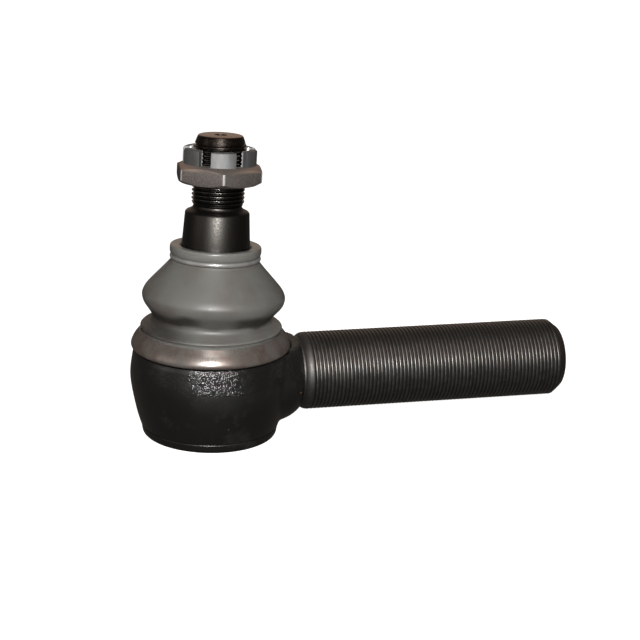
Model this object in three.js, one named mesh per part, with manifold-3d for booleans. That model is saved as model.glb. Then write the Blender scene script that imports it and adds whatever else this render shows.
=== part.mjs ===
// Tie rod end: a ball joint with a threaded shank, for a vehicle's steering linkage.
// Millimetres, +Z up along the eye's axis, +X out along the threaded shank.
// The origin is the centre of the closing cover's flat underside, in the plane of the crimped rim.
import * as THREE from "three";
import { mergeVertices } from "three/addons/utils/BufferGeometryUtils.js";
import Module from "manifold-3d";

const wasm = await Module();
wasm.setup();

// Driving dimensions.
const SEGMENTS = 40; // sides of a large turned piece
const GAP = 0.3; // running and assembly clearance between neighbouring pieces

const BALL_HEIGHT = 25.6;
const BALL_RADIUS = 16.5;
const PIN_LEAN_DEG = 3.46; // the pin rests leaning a little off the eye's axis
const PIN_LEAN_TOWARDS_DEG = 48.1; // and leans this way, counted from +X towards +Y

const EYE = {
  rimRadius: 25.8, // crimped bottom rim
  rimInner: 21.6,
  rimThickness: 2,
  shoulderRadius: 29.4,
  shoulderHeight: 33.9,
  spigotRadius: 24.2, // collar that carries the boot
  spigotTop: 38,
  coverSeatRadius: 24,
  coverSeatTop: 8.2,
  boreRadius: 21.3,
  boreTop: 30.9,
  mouthHeight: 34,
  mouthRadius: 14.9,
  mouthTopRadius: 16.6,
};

const SHANK = {
  height: 22.1,
  threadRadius: 14.9, // M30 x 1.5, right hand
  threadStart: 37,
  reliefRadius: 14,
  reliefStart: 33.8,
  chamferStart: 136.6,
  end: 139.8,
  endRadius: 12.4,
  centreHoleRadius: 2.4,
  centreHoleDepth: 6,
};

const NECK = { landAboveAxis: 13.2, spotfaceRadius: 30.7 };

// Distances along the pin count from the centre of the ball.
const PIN = {
  neckRadius: 9,
  neckEnd: 19,
  collarRadius: 12.85,
  collarStart: 30,
  taperStart: 47.2,
  taperPerSide: 1 / 16, // 1:8 on the diameter
  taperEnd: 60,
  shoulderEnd: 61.6,
  undercutRadius: 9.2,
  threadStart: 63.6,
  threadRadius: 9.9, // M20 x 1.5
  chamferStart: 85.2,
  top: 88.8,
  topRadius: 8,
  centreHoleRadius: 2.3,
  centreHoleDepth: 5,
  splitHoleRadius: 2.2,
};

const NUT = {
  bottom: 71.2,
  hexTop: 78.2,
  top: 84,
  acrossFlats: 30,
  crownRadius: 13.75,
  slotWidth: 4.8,
  slots: 6,
  boreRadius: PIN.threadRadius + GAP,
  cornerDeg: -96.7, // direction of one corner, from +X towards +Y
};

const BOOT = {
  lipTop: 47.6,
  lipRadius: 17.2,
  lipBore: PIN.collarRadius + GAP,
  grooveBottom: 42,
  grooveTop: 44,
  grooveRadius: 15.2,
  footBottom: EYE.shoulderHeight + GAP,
  footInner: EYE.spigotRadius + GAP,
  footOuter: 27,
  leanFrom: 38.3, // height where the boot starts to lean with the pin
  leanTo: 52.6, // and where it leans with it in full
};

const TOP_RING = { height: 43, radius: 16.2, wire: 0.7 };
const BASE_RING = {
  inner: BOOT.footOuter + GAP,
  outer: 30.2,
  bottom: BOOT.footBottom,
  bend: 38.9,
  top: 40.95,
  topInner: 26.5,
  topOuter: 26.9,
};
const COVER = { radius: EYE.coverSeatRadius - GAP, thickness: 4, bossRadius: 12 };
const PLATE = { bottom: 8.8, thickness: 1.5, inner: 7.5, outer: 20.6 };
const SPRING = { inner: 9.5, outer: 20, thickness: 1.1 };

/** Points of a circular arc of an outline, in (radius, height), angles in degrees. */
function arc(centreRadius, centreHeight, size, from, to, steps) {
  return Array.from({ length: steps + 1 }, (_, i) => {
    const angle = THREE.MathUtils.degToRad(from + ((to - from) * i) / steps);
    return [centreRadius + size * Math.cos(angle), centreHeight + size * Math.sin(angle)];
  });
}

/** Points of a smooth curve through a few points of an outline. */
function smooth(points, steps) {
  const curve = new THREE.SplineCurve(points.map(([r, z]) => new THREE.Vector2(r, z)));
  return curve.getPoints(steps).map(({ x, y }) => [x, y]);
}

/** A body turned about +Z from an outline that starts and ends on the axis, outer side upwards. */
function turned(outline, segments = SEGMENTS) {
  const profile = outline.map(([r, z]) => new THREE.Vector2(r, z));
  return new THREE.LatheGeometry(profile, segments).rotateX(Math.PI / 2);
}

/** A ring turned about +Z from an outline that closes on itself, outer side upwards. */
function turnedRing(outline, segments = SEGMENTS) {
  return turned([...outline, outline[0]], segments);
}

/** A plain upright cylinder between two heights. */
function rod(radius, bottom, top, segments = 24) {
  return turned([[0, bottom], [radius, bottom], [radius, top], [0, top]], segments);
}

/** A block between two corners. */
function block([x0, y0, z0], [x1, y1, z1]) {
  return new THREE.BoxGeometry(x1 - x0, y1 - y0, z1 - z0).translate(
    (x0 + x1) / 2,
    (y0 + y1) / 2,
    (z0 + z1) / 2,
  );
}

/** A closed geometry as a solid that can be joined and cut. */
function toSolid(geometry) {
  const bare = geometry.clone();
  bare.deleteAttribute("normal");
  bare.deleteAttribute("uv");
  const merged = mergeVertices(bare, 1e-4);
  return new wasm.Manifold(
    new wasm.Mesh({
      numProp: 3,
      vertProperties: merged.attributes.position.array,
      triVerts: Uint32Array.from(merged.index.array),
    }),
  );
}

/** The geometry of a solid. */
function toGeometry(solid) {
  const { vertProperties, triVerts } = solid.getMesh();
  return new THREE.BufferGeometry()
    .setAttribute("position", new THREE.BufferAttribute(vertProperties, 3))
    .setIndex(new THREE.BufferAttribute(triVerts, 1));
}

const FINISHES = {
  forgedSteel: { color: 0x1d1c1b, roughness: 0.5, metalness: 0.6 },
  pinSteel: { color: 0x3a3733, roughness: 0.35, metalness: 0.85 },
  nutSteel: { color: 0x6a6662, roughness: 0.5, metalness: 0.8 },
  ringSteel: { color: 0x9b9790, roughness: 0.3, metalness: 0.9 },
  pressedSteel: { color: 0x77706a, roughness: 0.35, metalness: 0.85 },
  springSteel: { color: 0x5d6066, roughness: 0.4, metalness: 0.9 },
  bearingPlastic: { color: 0xd9d3c1, roughness: 0.55, metalness: 0 },
  bootRubber: { color: 0x6e6c64, roughness: 0.4, metalness: 0 },
  sealRubber: { color: 0x191919, roughness: 0.6, metalness: 0 },
};

/** A named piece with its own material. */
function piece(name, geometry, finish) {
  const material = new THREE.MeshStandardMaterial({ ...FINISHES[finish], flatShading: true });
  const mesh = new THREE.Mesh(geometry, material);
  mesh.name = name;
  return mesh;
}

/** Forged eye, neck and threaded shank in one piece, bored from below for the bearing. */
function housing() {
  const barrel = smooth([[26.1, 3.4], [28, 9.5], [30, 19], [30.45, 25], [29.5, 32.2]], 8);
  const eye = turned([
    [0, 0],
    [EYE.rimRadius - 1.8, 0],
    ...arc(EYE.rimRadius - 1.8, 1.8, 1.8, -60, 0, 2),
    ...barrel,
    [EYE.shoulderRadius - 0.6, EYE.shoulderHeight],
    [EYE.spigotRadius, EYE.shoulderHeight],
    [EYE.spigotRadius, EYE.spigotTop - 0.5],
    [EYE.spigotRadius - 0.5, EYE.spigotTop],
    [0, EYE.spigotTop],
  ]);
  const slope = (EYE.mouthTopRadius - EYE.mouthRadius) / (EYE.spigotTop - EYE.mouthHeight);
  const cavity = turned([
    [0, -1],
    [EYE.rimInner, -1],
    [EYE.rimInner, EYE.rimThickness],
    [EYE.coverSeatRadius, EYE.rimThickness],
    [EYE.coverSeatRadius, EYE.coverSeatTop],
    [EYE.boreRadius, EYE.coverSeatTop],
    [EYE.boreRadius, EYE.boreTop],
    [EYE.mouthRadius + 2.5, EYE.mouthHeight],
    [EYE.mouthRadius, EYE.mouthHeight],
    [EYE.mouthTopRadius + slope, EYE.spigotTop + 1],
    [0, EYE.spigotTop + 1],
  ]);

  // The neck swells towards the eye, and its forged top is flattened into a land.
  const swell = smooth([[17.4, 20], [17.2, 28], [16.3, 31.3], [SHANK.reliefRadius, SHANK.reliefStart]], 6);
  const bar = turned([
    [0, 16],
    [17.4, 16],
    ...swell,
    [SHANK.reliefRadius, SHANK.reliefStart + 0.8],
    [SHANK.threadRadius, SHANK.threadStart],
    [SHANK.threadRadius, SHANK.chamferStart],
    [SHANK.endRadius, SHANK.end],
    [0, SHANK.end],
  ]);
  const centreHole = turned(
    [
      [0, SHANK.end - SHANK.centreHoleDepth],
      [SHANK.centreHoleRadius, SHANK.end - SHANK.centreHoleDepth + 2],
      [SHANK.centreHoleRadius, SHANK.end + 1],
      [0, SHANK.end + 1],
    ],
    12,
  );
  const alongX = new THREE.Matrix4().makeRotationY(Math.PI / 2).setPosition(0, 0, SHANK.height);
  const landHeight = SHANK.height + NECK.landAboveAxis;
  const neckAndShank = toSolid(bar.applyMatrix4(alongX))
    .subtract(toSolid(centreHole.applyMatrix4(alongX)))
    .subtract(toSolid(block([10, -30, landHeight], [SHANK.reliefStart + 0.5, 30, landHeight + 10])))
    .subtract(toSolid(rod(NECK.spotfaceRadius, EYE.shoulderHeight, EYE.spigotTop + 5, SEGMENTS)));

  return piece(
    "housing",
    toGeometry(toSolid(eye).add(neckAndShank).subtract(toSolid(cavity))),
    "forgedSteel",
  );
}

/** Pressed cover that closes the bottom, with a flat boss level with the rim. */
function coverPlate() {
  const bottom = EYE.rimThickness + GAP;
  const outline = [
    [0, 0],
    [COVER.bossRadius, 0],
    [COVER.bossRadius + 2, bottom],
    [COVER.radius, bottom],
    [COVER.radius, bottom + COVER.thickness],
    [0, bottom + COVER.thickness],
  ];
  return piece("cover_plate", turned(outline), "pressedSteel");
}

/** Square seal between the cover and the step in the bore. */
function coverSeal() {
  const bottom = EYE.rimThickness + COVER.thickness + 2 * GAP;
  const top = EYE.coverSeatTop - GAP;
  const inner = EYE.boreRadius + 0.6;
  const outline = [[inner, bottom], [COVER.radius, bottom], [COVER.radius, top], [inner, top]];
  return piece("cover_seal", turnedRing(outline), "sealRubber");
}

/** Coned disc spring that pushes the bearing up from the cover. */
function preloadSpring() {
  const bottom = EYE.rimThickness + COVER.thickness + 2 * GAP;
  const top = PLATE.bottom - GAP;
  const outline = [
    [SPRING.outer - 0.6, bottom],
    [SPRING.outer, bottom + SPRING.thickness * 0.6],
    [SPRING.inner, top],
    [SPRING.inner - 0.6, top - SPRING.thickness * 0.6],
  ];
  return piece("preload_spring", turnedRing(outline), "springSteel");
}

/** Flat washer that spreads the spring's load over the lower bearing. */
function pressurePlate() {
  const top = PLATE.bottom + PLATE.thickness;
  const outline = [
    [PLATE.inner, PLATE.bottom],
    [PLATE.outer, PLATE.bottom],
    [PLATE.outer, top],
    [PLATE.inner, top],
  ];
  return piece("pressure_plate", turnedRing(outline), "springSteel");
}

/** Lower half of the bearing: a cup under the ball, open in the middle. */
function lowerBearingCup() {
  const socket = BALL_RADIUS + GAP;
  const bottom = PLATE.bottom + PLATE.thickness + GAP - BALL_HEIGHT;
  const low = THREE.MathUtils.radToDeg(Math.asin(bottom / socket));
  const high = THREE.MathUtils.radToDeg(Math.asin(-0.8 / socket));
  const outer = EYE.boreRadius - GAP;
  const outline = [
    [outer - 1, bottom],
    [outer, bottom + 1],
    [outer, -0.8],
    ...arc(0, 0, socket, high, low, 8),
  ];
  return piece("lower_bearing_cup", turnedRing(outline).translate(0, 0, BALL_HEIGHT), "bearingPlastic");
}

/** Upper half of the bearing: a shell over the ball's shoulder, wedged in the top of the bore. */
function upperBearingShell() {
  const socket = BALL_RADIUS + GAP;
  const top = EYE.mouthHeight - 2 * GAP + 0.2 - BALL_HEIGHT;
  const high = THREE.MathUtils.radToDeg(Math.asin(top / socket));
  const outer = EYE.boreRadius - GAP;
  const outline = [
    [socket, 0],
    [outer, 0],
    [outer, EYE.boreTop - BALL_HEIGHT - GAP],
    [EYE.mouthRadius + 2.2, top],
    ...arc(0, 0, socket, high, 6, 5),
  ];
  return piece("upper_bearing_shell", turnedRing(outline).translate(0, 0, BALL_HEIGHT), "bearingPlastic");
}

/** Pressed ring that clamps the boot's foot on the eye. */
function bootBaseRing() {
  const { inner, outer, bottom, bend, top, topInner, topOuter } = BASE_RING;
  const outline = [
    [inner, bottom],
    [outer - 0.9, bottom],
    ...arc(outer - 0.9, bottom + 1, 0.9, -60, 20, 3),
    [outer - 0.6, bottom + 3.1],
    [outer - 2.4, bottom + 5.6],
    [topOuter, top],
    [topInner, top],
    [inner, bend],
  ];
  return piece("boot_base_ring", turnedRing(outline), "pressedSteel");
}

/** How far along the lean a height of the boot is: 0 at its foot, 1 from its upper bulge up. */
function bootLeanShare(height) {
  return THREE.MathUtils.smoothstep(height, BOOT.leanFrom, BOOT.leanTo);
}

/** The turn that leans the pin, scaled by a share between 0 and 1. */
function leanTurn(share) {
  const towards = THREE.MathUtils.degToRad(PIN_LEAN_TOWARDS_DEG);
  const axis = new THREE.Vector3(-Math.sin(towards), Math.cos(towards), 0);
  return new THREE.Quaternion().setFromAxisAngle(axis, THREE.MathUtils.degToRad(PIN_LEAN_DEG * share));
}

/** Rubber boot: a foot under the base ring, one deep fold, a wide bulge and a lip on the pin. */
function boot() {
  const inward = ([r, z]) => [r, BALL_HEIGHT + z];
  const outside = [
    ...smooth([[BOOT.footOuter - 0.2, 39.1], [26.2, 40.8], [25.4, 42.4], [23.4, 45], [22.6, 46.4]], 5),
    ...smooth(
      [[24, 22.6], [26.3, 25.6], [27, 28], [25.8, 31.3], [22.3, 35.3], [18.2, 39.8], [16.8, 41.4]].map(inward),
      11,
    ),
    ...[
      [16.6, BOOT.grooveBottom],
      [BOOT.grooveRadius, BOOT.grooveBottom],
      [BOOT.grooveRadius, BOOT.grooveTop],
      [16.7, BOOT.grooveTop],
      [BOOT.lipRadius, BOOT.grooveTop + 1.4],
      [BOOT.lipRadius, BOOT.lipTop - 0.8],
      [BOOT.lipRadius - 0.8, BOOT.lipTop],
      [BOOT.lipBore + 0.4, BOOT.lipTop - 0.4],
      [BOOT.lipBore, BOOT.lipTop - 1],
    ].map(inward),
  ];
  const inside = smooth(
    [
      [BOOT.lipBore, 40.6 + BALL_HEIGHT],
      [17, 37.9 + BALL_HEIGHT],
      [20.8, 33.8 + BALL_HEIGHT],
      [24, 30 + BALL_HEIGHT],
      [25.1, 27.6 + BALL_HEIGHT],
      [23, 24.6 + BALL_HEIGHT],
      [20.7, 46.6],
      [22.2, 43.2],
      [BOOT.footInner, 39.4],
    ],
    13,
  );
  const foot = [[BOOT.footInner, BOOT.footBottom], [BOOT.footOuter, BOOT.footBottom], [BOOT.footOuter, 38.6]];
  const shape = turnedRing([...foot, ...outside, ...inside]);

  // The foot stands upright on the eye and the lip leans with the pin.
  const centre = new THREE.Vector3(0, 0, BALL_HEIGHT);
  const position = shape.getAttribute("position");
  const point = new THREE.Vector3();
  for (let i = 0; i < position.count; i += 1) {
    point.fromBufferAttribute(position, i);
    point.sub(centre).applyQuaternion(leanTurn(bootLeanShare(point.z + BALL_HEIGHT))).add(centre);
    position.setXYZ(i, point.x, point.y, point.z);
  }
  return piece("boot", shape, "bootRubber");
}

/** Wire ring in the groove of the boot's lip. */
function bootTopRing() {
  const { height, radius, wire } = TOP_RING;
  return piece("boot_top_ring", turnedRing(arc(radius, height, wire, 0, 315, 7)), "ringSteel");
}

/** Ball, neck, taper and thread in one piece, with centre and split pin holes. */
function ballPin() {
  const neckAngle = THREE.MathUtils.radToDeg(Math.acos(PIN.neckRadius / BALL_RADIUS));
  const taperEndRadius = PIN.collarRadius - (PIN.taperEnd - PIN.taperStart) * PIN.taperPerSide;
  const flare = smooth(
    [
      [PIN.neckRadius, PIN.neckEnd],
      [PIN.neckRadius + 1.2, PIN.neckEnd + 4.5],
      [PIN.collarRadius - 0.6, PIN.collarStart - 2],
      [PIN.collarRadius, PIN.collarStart],
    ],
    5,
  );
  const body = turned([
    [0, -BALL_RADIUS],
    ...arc(0, 0, BALL_RADIUS, -80, neckAngle, 13),
    ...flare,
    [PIN.collarRadius, PIN.taperStart],
    [taperEndRadius, PIN.taperEnd],
    [taperEndRadius - 0.5, PIN.taperEnd + 0.6],
    [PIN.undercutRadius + 0.4, PIN.shoulderEnd],
    [PIN.undercutRadius, PIN.shoulderEnd + 0.6],
    [PIN.undercutRadius, PIN.threadStart - 0.7],
    [PIN.threadRadius, PIN.threadStart],
    [PIN.threadRadius, PIN.chamferStart],
    [PIN.topRadius, PIN.top],
    [0, PIN.top],
  ]);
  const centreHole = turned(
    [
      [0, PIN.top - PIN.centreHoleDepth],
      [PIN.centreHoleRadius * 0.5, PIN.top - PIN.centreHoleDepth],
      [PIN.centreHoleRadius, PIN.top - 1],
      [PIN.centreHoleRadius, PIN.top + 1],
      [0, PIN.top + 1],
    ],
    12,
  );
  const splitHole = rod(PIN.splitHoleRadius, -15, 15, 12)
    .rotateY(Math.PI / 2)
    .rotateZ(THREE.MathUtils.degToRad(NUT.cornerDeg + 90))
    .translate(0, 0, (NUT.hexTop + NUT.top) / 2);
  const solid = toSolid(body).subtract(toSolid(centreHole)).subtract(toSolid(splitHole));
  return piece("ball_pin", toGeometry(solid), "pinSteel");
}

/** Castle nut: a chamfered hexagon with a slotted crown. */
function castleNut() {
  const flat = NUT.acrossFlats / 2;
  const corner = flat / Math.cos(Math.PI / 6);
  const hexagon = new THREE.CylinderGeometry(corner, corner, NUT.top - NUT.bottom, 6)
    .rotateX(Math.PI / 2)
    .rotateZ(THREE.MathUtils.degToRad(NUT.cornerDeg))
    .rotateZ(Math.PI / 2)
    .translate(0, 0, (NUT.top + NUT.bottom) / 2);
  const envelope = turned([
    [0, NUT.bottom],
    [flat - 0.4, NUT.bottom],
    [corner, NUT.bottom + 1.6],
    [corner, NUT.hexTop - 1.9],
    [NUT.crownRadius + 0.4, NUT.hexTop - 0.1],
    [NUT.crownRadius, NUT.hexTop],
    [NUT.crownRadius, NUT.top - 0.7],
    [NUT.crownRadius - 0.7, NUT.top],
    [0, NUT.top],
  ]);
  const bore = turned([
    [0, NUT.bottom - 1],
    [NUT.boreRadius + 1.8, NUT.bottom - 1],
    [NUT.boreRadius, NUT.bottom + 0.8],
    [NUT.boreRadius, NUT.top - 0.8],
    [NUT.boreRadius + 1.8, NUT.top + 1],
    [0, NUT.top + 1],
  ]);
  let solid = toSolid(hexagon).intersect(toSolid(envelope)).subtract(toSolid(bore));
  for (let i = 0; i < NUT.slots; i += 1) {
    const direction = NUT.cornerDeg + 30 + (360 / NUT.slots) * i;
    const slot = block([0, -NUT.slotWidth / 2, NUT.hexTop + 0.1], [corner + 2, NUT.slotWidth / 2, NUT.top + 1]);
    solid = solid.subtract(toSolid(slot.rotateZ(THREE.MathUtils.degToRad(direction))));
  }
  return piece("castle_nut", toGeometry(solid), "nutSteel");
}

const tieRodEnd = new THREE.Group();
tieRodEnd.add(
  housing(),
  coverPlate(),
  coverSeal(),
  preloadSpring(),
  pressurePlate(),
  lowerBearingCup(),
  upperBearingShell(),
  bootBaseRing(),
  boot(),
);

// What moves with the pin is built upright about the ball's centre, then leans as one.
const leaning = new THREE.Group();
leaning.position.set(0, 0, BALL_HEIGHT);
leaning.quaternion.copy(leanTurn(1));
leaning.add(bootTopRing(), ballPin(), castleNut());
tieRodEnd.add(leaning);

export default tieRodEnd;
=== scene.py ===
"""Tie rod end with its boot, ball pin and castle nut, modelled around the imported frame.

Sizes are in millimetres and become metres where a mesh is made. +Z runs up the eye's axis and +X out
along the threaded shank. What leans with the pin is built upright about the ball's centre first.
"""

import logging
import math
from dataclasses import dataclass
from enum import Enum

import bpy
from mathutils import Matrix, Vector


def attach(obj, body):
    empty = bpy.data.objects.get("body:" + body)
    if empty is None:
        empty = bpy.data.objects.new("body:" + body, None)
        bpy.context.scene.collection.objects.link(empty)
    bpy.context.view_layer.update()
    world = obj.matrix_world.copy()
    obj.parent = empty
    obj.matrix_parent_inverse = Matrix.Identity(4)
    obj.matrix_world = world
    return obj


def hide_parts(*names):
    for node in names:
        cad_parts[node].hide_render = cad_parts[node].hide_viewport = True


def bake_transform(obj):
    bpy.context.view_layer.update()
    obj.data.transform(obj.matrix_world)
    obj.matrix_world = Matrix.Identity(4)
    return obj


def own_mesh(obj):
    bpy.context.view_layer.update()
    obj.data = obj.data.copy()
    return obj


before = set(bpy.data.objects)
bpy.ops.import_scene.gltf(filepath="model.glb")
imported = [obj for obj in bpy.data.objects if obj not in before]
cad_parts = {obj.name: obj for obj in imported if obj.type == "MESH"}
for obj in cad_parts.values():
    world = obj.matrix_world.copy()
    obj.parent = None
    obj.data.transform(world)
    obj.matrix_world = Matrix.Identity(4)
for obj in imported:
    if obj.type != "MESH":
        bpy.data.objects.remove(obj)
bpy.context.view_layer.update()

LOG = logging.getLogger("tie_rod_end")
MM = 0.001
MERGE = 1e-7
ROUND_SEGMENTS = 112
BOOT_SEGMENTS = 128

BALL_CENTRE = Vector((0.0, 0.0, 25.6))
SHANK_HEIGHT = 22.1
LEAN_DEG = 3.46
LEAN_TOWARDS_DEG = 48.1

Point = tuple[float, float]
Range = tuple[float, float]
Place = tuple[float, float, float]
Colour = tuple[float, float, float, float]


class Body(Enum):
    """Bodies of the frame that pieces ride on."""

    EYE = "eye"
    SUPPORT = "bearing_support"
    BEARING = "bearing"
    LIP = "boot_lip"
    PIN = "pin"
    NUT = "nut"


class Cut(Enum):
    """Ways in which a tool shape acts on a piece."""

    AWAY = "DIFFERENCE"
    JOIN = "UNION"
    COMMON = "INTERSECT"


# ---------------------------------------------------------------- outlines


def arc(centre: Point, size: float, start: float, end: float, steps: int) -> list[Point]:
    """Points of a circular arc of an outline.

    Args:
        centre: Radius and height of the arc's centre.
        size: Radius of the arc.
        start: First angle in degrees, 0 outwards and 90 upwards.
        end: Last angle in degrees.
        steps: Number of chords.

    Returns:
        The points from start to end.
    """
    angles = [math.radians(start + (end - start) * i / steps) for i in range(steps + 1)]
    return [(centre[0] + size * math.cos(a), centre[1] + size * math.sin(a)) for a in angles]


def curve(points: list[Point], steps: int) -> list[Point]:
    """Points of a smooth curve through a few points of an outline.

    Args:
        points: The points that the curve passes through.
        steps: Number of chords along the whole curve.

    Returns:
        The points of the curve, both ends among them.
    """
    last = len(points) - 1
    made = []
    for i in range(steps + 1):
        place = i / steps * last
        span = min(int(place), last - 1)
        t = place - span
        knots = [points[min(max(span + k, 0), last)] for k in (-1, 0, 1, 2)]
        weights = (
            (-t + 2 * t**2 - t**3) / 2,
            (2 - 5 * t**2 + 3 * t**3) / 2,
            (t + 4 * t**2 - 3 * t**3) / 2,
            (-(t**2) + t**3) / 2,
        )
        made.append(tuple(sum(w * p[axis] for w, p in zip(weights, knots)) for axis in (0, 1)))
    return made


def raised(outline: list[Point], height: float) -> list[Point]:
    """The outline moved up by a height."""
    return [(r, z + height) for r, z in outline]


# ---------------------------------------------------------------- modelling steps


def pick(piece: bpy.types.Object) -> None:
    """Selects one object alone and makes it active.

    Args:
        piece: The object.
    """
    bpy.ops.object.select_all(action="DESELECT")
    piece.select_set(True)
    bpy.context.view_layer.objects.active = piece


def settle(piece: bpy.types.Object, matrix: Matrix) -> bpy.types.Object:
    """Moves a piece and puts its place into its mesh.

    Args:
        piece: The object, at the origin.
        matrix: Where it goes, in metres.

    Returns:
        The same object.
    """
    piece.matrix_world = matrix
    pick(piece)
    bpy.ops.object.transform_apply(location=True, rotation=True, scale=True)
    return piece


def trace(name: str, outline: list[Point], closed: bool) -> bpy.types.Object:
    """Draws an outline on the XZ plane, one extruded corner after another.

    Args:
        name: Name of the new object.
        outline: Radius and height of each corner.
        closed: Whether the last corner meets the first.

    Returns:
        The object, with edges alone.
    """
    bpy.ops.object.select_all(action="DESELECT")
    first = outline[0]
    bpy.ops.mesh.primitive_plane_add(size=MM, location=(first[0] * MM, 0, first[1] * MM))
    piece = bpy.context.active_object
    piece.name = name
    bpy.ops.object.transform_apply(location=True)
    bpy.ops.object.mode_set(mode="EDIT")
    bpy.ops.mesh.select_all(action="SELECT")
    bpy.ops.mesh.merge(type="CENTER")
    corners = outline + [first] if closed else outline
    for (r0, z0), (r1, z1) in zip(corners, corners[1:]):
        step = ((r1 - r0) * MM, 0, (z1 - z0) * MM)
        bpy.ops.mesh.extrude_vertices_move(TRANSFORM_OT_translate={"value": step})
    bpy.ops.mesh.select_all(action="SELECT")
    bpy.ops.mesh.remove_doubles(threshold=MERGE)
    bpy.ops.object.mode_set(mode="OBJECT")
    return piece


def mend(piece: bpy.types.Object) -> None:
    """Merges doubled corners and points every face outwards.

    Args:
        piece: The object.
    """
    pick(piece)
    bpy.ops.object.mode_set(mode="EDIT")
    bpy.ops.mesh.select_all(action="SELECT")
    bpy.ops.mesh.remove_doubles(threshold=MERGE)
    bpy.ops.mesh.normals_make_consistent(inside=False)
    bpy.ops.object.mode_set(mode="OBJECT")


def turned(
    name: str, outline: list[Point], closed: bool = False, segments: int = ROUND_SEGMENTS
) -> bpy.types.Object:
    """Turns an outline about +Z.

    Args:
        name: Name of the new object.
        outline: Radius and height of each corner, in mm.
        closed: True for a ring, False for a body that starts and ends on the axis.
        segments: Steps of the turn.

    Returns:
        The closed body.
    """
    piece = trace(name, outline, closed)
    bpy.ops.object.mode_set(mode="EDIT")
    bpy.ops.mesh.select_all(action="SELECT")
    bpy.ops.mesh.spin(steps=segments, angle=math.tau, center=(0, 0, 0), axis=(0, 0, 1))
    bpy.ops.object.mode_set(mode="OBJECT")
    mend(piece)
    return piece


def block(name: str, low: Place, high: Place) -> bpy.types.Object:
    """A plain block between two corners, used as a tool shape.

    Args:
        name: Name of the new object.
        low: Lowest corner in mm.
        high: Highest corner in mm.

    Returns:
        The block.
    """
    bpy.ops.object.select_all(action="DESELECT")
    middle = [(a + b) / 2 * MM for a, b in zip(low, high)]
    size = [(b - a) * MM for a, b in zip(low, high)]
    bpy.ops.mesh.primitive_cube_add(size=1, location=middle, scale=size)
    piece = bpy.context.active_object
    piece.name = name
    bpy.ops.object.transform_apply(location=True, rotation=True, scale=True)
    return piece


def finish_with(piece: bpy.types.Object, kind: str, **settings: object) -> None:
    """Adds a modifier to a piece and applies it.

    Args:
        piece: The object.
        kind: The modifier's type.
        **settings: The modifier's own settings.
    """
    pick(piece)
    modifier = piece.modifiers.new(kind.lower(), kind)
    for key, value in settings.items():
        setattr(modifier, key, value)
    bpy.ops.object.modifier_apply(modifier=modifier.name)


def shape_with(piece: bpy.types.Object, tool: bpy.types.Object, how: Cut) -> bpy.types.Object:
    """Cuts, joins or trims a piece by a tool shape, which is used up.

    Args:
        piece: The object that stays.
        tool: The object that acts on it.
        how: What the tool does.

    Returns:
        The piece.
    """
    finish_with(piece, "BOOLEAN", operation=how.value, solver="EXACT", object=tool)
    bpy.data.objects.remove(tool)
    return piece


def soften_edges(piece: bpy.types.Object, width: float, angle: float = 32) -> None:
    """Rounds every edge that is sharper than an angle.

    Args:
        piece: The object.
        width: Width of the rounding in mm.
        angle: Least angle of a rounded edge, in degrees.
    """
    finish_with(
        piece,
        "BEVEL",
        width=width * MM,
        segments=2,
        limit_method="ANGLE",
        angle_limit=math.radians(angle),
        use_clamp_overlap=True,
        harden_normals=False,
    )


def smooth_shade(piece: bpy.types.Object, angle: float = 30) -> None:
    """Shades a piece smoothly except across edges sharper than an angle."""
    pick(piece)
    bpy.ops.object.shade_smooth_by_angle(angle=math.radians(angle))


def lean_matrix(share: float = 1.0) -> Matrix:
    """The turn that leans the pin, about the ball's centre.

    Args:
        share: How much of the full lean, from 0 to 1.

    Returns:
        The rotation.
    """
    towards = math.radians(LEAN_TOWARDS_DEG)
    axis = Vector((-math.sin(towards), math.cos(towards), 0))
    return Matrix.Rotation(math.radians(LEAN_DEG * share), 4, axis)


def leaned(piece: bpy.types.Object) -> bpy.types.Object:
    """Puts a piece that was built about the ball's centre onto the leaning pin."""
    return settle(piece, Matrix.Translation(BALL_CENTRE * MM) @ lean_matrix())


# ---------------------------------------------------------------- shader nodes


class Wire:
    """One number in a shader, for sums written as Python expressions."""

    def __init__(self, paint: "Paint", socket: bpy.types.NodeSocket) -> None:
        """Keeps the socket and the paint it belongs to."""
        self.paint = paint
        self.socket = socket

    def maths(self, operation: str, first: object, second: object) -> "Wire":
        """One Math node on two numbers, either of which may be a wire."""
        made = self.paint.node("Math", {"operation": operation}, {0: first, 1: second})
        return Wire(self.paint, made.outputs[0])

    def __add__(self, other: object) -> "Wire":
        """Sum."""
        return self.maths("ADD", self, other)

    def __radd__(self, other: object) -> "Wire":
        """Reflected sum."""
        return self.maths("ADD", other, self)

    def __sub__(self, other: object) -> "Wire":
        """Difference."""
        return self.maths("SUBTRACT", self, other)

    def __rsub__(self, other: object) -> "Wire":
        """Reflected difference."""
        return self.maths("SUBTRACT", other, self)

    def __mul__(self, other: object) -> "Wire":
        """Product."""
        return self.maths("MULTIPLY", self, other)

    def __rmul__(self, other: object) -> "Wire":
        """Reflected product."""
        return self.maths("MULTIPLY", other, self)


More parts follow.
